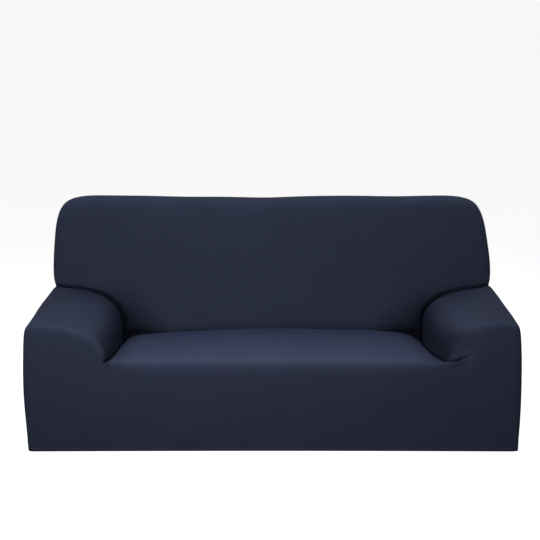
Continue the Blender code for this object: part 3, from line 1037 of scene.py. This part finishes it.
# ---------------------------------------------------------------------------------------------------
# Inside back with the top
# One piece of jersey from the tuck behind the seat and the arms, up the back rest, over its top and down
# its two sides, overlocked to its neighbours.
# ---------------------------------------------------------------------------------------------------


# Between these distances from the middle the back rest turns to its side, where the ribs go on round.
SIDE_TURN_X = (0.80, 0.90)


def on_back(points):
    """Ribs that run up the back rest and over its top."""
    x, y, z = points.T
    round_side = smoothstep(*SIDE_TURN_X, np.abs(x)) * np.clip(y - back_y(x, z), 0.0, None)
    return np.stack((x + np.sign(x) * round_side, z + y), axis=1)


inside_back = sewn_panel("inside_back", coarse, on_back)

# ---------------------------------------------------------------------------------------------------
# Outside back
# A plain rectangle of jersey with rounded upper corners, over the whole rear down to its turned hem.
# ---------------------------------------------------------------------------------------------------


def on_rear(points):
    """Ribs that run straight up the rear."""
    return points[:, [0, 2]]


outside_back = sewn_panel("outside_back", coarse, on_rear)

# ---------------------------------------------------------------------------------------------------
# Stage, lights and camera
# A floor of matt white paint that runs out to a white backdrop, three soft boxes over the front edge, the
# brightest at the left, and two behind the back rest. The pale room around them gives an even fill.
# ---------------------------------------------------------------------------------------------------
FLOOR_Z = -0.0006
STAGE_SIZE = 180.0
FILL = 0.22
BOX_SIZE = (1.4, 1.0)
BOX_AIM = (0.0, -0.1, 0.35)
SoftBox = namedtuple("SoftBox", "name place watts")
SOFT_BOXES = (
    SoftBox("front_left", (-0.8, -1.3, 1.3), 12.2),
    SoftBox("front_middle", (0.0, -1.3, 1.3), 8.6),
    SoftBox("front_right", (0.8, -1.3, 1.3), 3.2),
    SoftBox("rear_left", (-1.0, 0.8, 1.9), 9.0),
    SoftBox("rear_right", (1.0, 0.8, 1.9), 12.0),
)


def pale_paint(name, colour, glow):
    """Matt paint, lit up evenly so that it stays pale."""
    material = bpy.data.materials.new(name)
    material.use_nodes = True
    shader = material.node_tree.nodes["Principled BSDF"]
    shader.inputs["Base Color"].default_value = linear(colour)
    shader.inputs["Roughness"].default_value = 0.9
    shader.inputs["Specular IOR Level"].default_value = 0.0
    shader.inputs["Emission Color"].default_value = linear(colour)
    shader.inputs["Emission Strength"].default_value = glow
    return material


def stage_piece(name, bm, paint):
    """A piece of the room, which is seen but neither lights nor shades the cover."""
    mesh = bpy.data.meshes.new(name)
    bm.to_mesh(mesh)
    bm.free()
    mesh.materials.append(paint)
    piece = bpy.data.objects.new(name, mesh)
    bpy.context.scene.collection.objects.link(piece)
    # The light that comes back from the floor and the backdrop is in the glow.
    piece.visible_diffuse = piece.visible_glossy = piece.visible_shadow = False
    piece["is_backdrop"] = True


floor = bmesh.new()
bmesh.ops.create_circle(floor, cap_ends=True, segments=64, radius=STAGE_SIZE)
bmesh.ops.translate(floor, verts=floor.verts, vec=(0, 0, FLOOR_Z))
stage_piece("floor", floor, pale_paint("white_floor_paint", "#fbfbfb", 0.75))
backdrop = bmesh.new()
bmesh.ops.create_uvsphere(backdrop, u_segments=64, v_segments=32, radius=STAGE_SIZE * 0.99)
stage_piece("backdrop", backdrop, pale_paint("white_backdrop_paint", "#fbfbfb", 1.0))

world = bpy.data.worlds.new("studio")
world.use_nodes = True
room = world.node_tree.nodes["Background"]
room.inputs["Color"].default_value = linear("#ffffff")
room.inputs["Strength"].default_value = FILL
bpy.context.scene.world = world

for box in SOFT_BOXES:
    light = bpy.data.lights.new(box.name, "AREA")
    light.shape = "RECTANGLE"
    light.size, light.size_y = BOX_SIZE
    light.energy = box.watts
    lamp = bpy.data.objects.new(box.name, light)
    lamp.location = box.place
    lamp.rotation_euler = (Vector(BOX_AIM) - lamp.location).to_track_quat("-Z", "Y").to_euler()
    lamp.visible_camera = False
    bpy.context.scene.collection.objects.link(lamp)

# In front of the sofa at standing height, looking down a little. The lens's focal length is given in pixels
# of an image this wide.
CAMERA_PLACE = (-0.009, -4.487, 1.702)
LOOKS_DOWN = 13.778
FOCAL_PIXELS = 1150
IMAGE_PIXELS = 540
SENSOR = 36.0
camera_data = bpy.data.cameras.new("camera")
camera_data.sensor_width = SENSOR
camera_data.lens = SENSOR * FOCAL_PIXELS / IMAGE_PIXELS
camera = bpy.data.objects.new("camera", camera_data)
camera.location = CAMERA_PLACE
camera.rotation_euler = (math.radians(90 - LOOKS_DOWN), 0.0, 0.0)
bpy.context.scene.collection.objects.link(camera)
bpy.context.scene.camera = camera
bpy.context.scene.view_settings.view_transform = "Standard"

seen_low, seen_high = (corner[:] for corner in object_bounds())
{"cad": [list(cad_low), list(cad_high)], "visual": [list(seen_low), list(seen_high)]}
